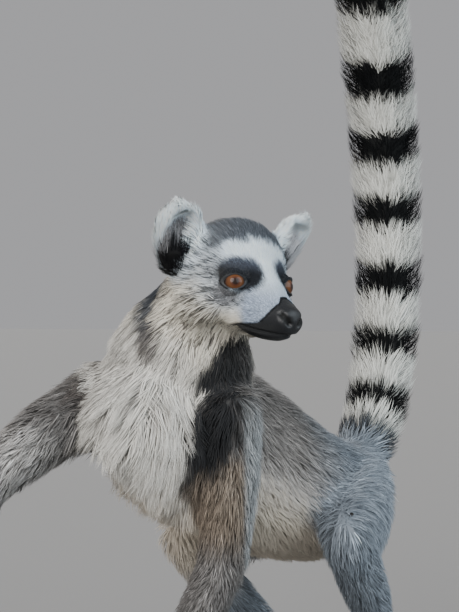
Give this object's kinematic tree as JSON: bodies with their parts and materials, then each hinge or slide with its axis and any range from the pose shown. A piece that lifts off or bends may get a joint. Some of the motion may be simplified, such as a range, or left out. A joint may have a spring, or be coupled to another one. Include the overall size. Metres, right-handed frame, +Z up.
{
  "type": "ring-tailed lemur",
  "caption": "Life-size standing ring-tailed lemur with its long banded tail held up, its head turned to its left and one hand stepping forward, as a still display model",
  "frame": {"origin": "on the floor, under the middle of the whole model's box", "axes": "+Z up; the trunk runs along Y and faces -Y; the animal's left side is +X"},
  "size_m": [0.1913, 0.5031, 0.7096],
  "materials": {
    "coat_grey": "soft fur, no sheen",
    "coat_pale": "soft fur, no sheen",
    "coat_white": "soft fur, no sheen",
    "bare_skin": "damp satin",
    "eye": "wet gloss"
  },
  "bodies": {
    "root": {"head": "coat_white", "muzzle": "coat_white", "nose": "bare_skin", "lower_jaw": "bare_skin", "ear_left": "coat_white", "ear_right": "coat_white", "eye_left": "eye", "eye_right": "eye", "neck": "coat_pale", "chest": "coat_pale", "belly": "coat_grey", "rump": "coat_grey", "upper_arm_left": "coat_grey", "upper_arm_right": "coat_grey", "forearm_left": "coat_grey", "forearm_right": "coat_grey", "hand_left": "coat_pale", "hand_right": "coat_pale", "thigh_left": "coat_grey", "thigh_right": "coat_grey", "shank_left": "coat_grey", "shank_right": "coat_grey", "foot_left": "coat_pale", "foot_right": "coat_pale", "tail_1": "coat_white", "tail_2": "coat_white", "tail_3": "coat_white", "tail_4": "coat_white", "tail_5": "coat_white", "tail_6": "coat_white"}
  },
  "joints": []
}
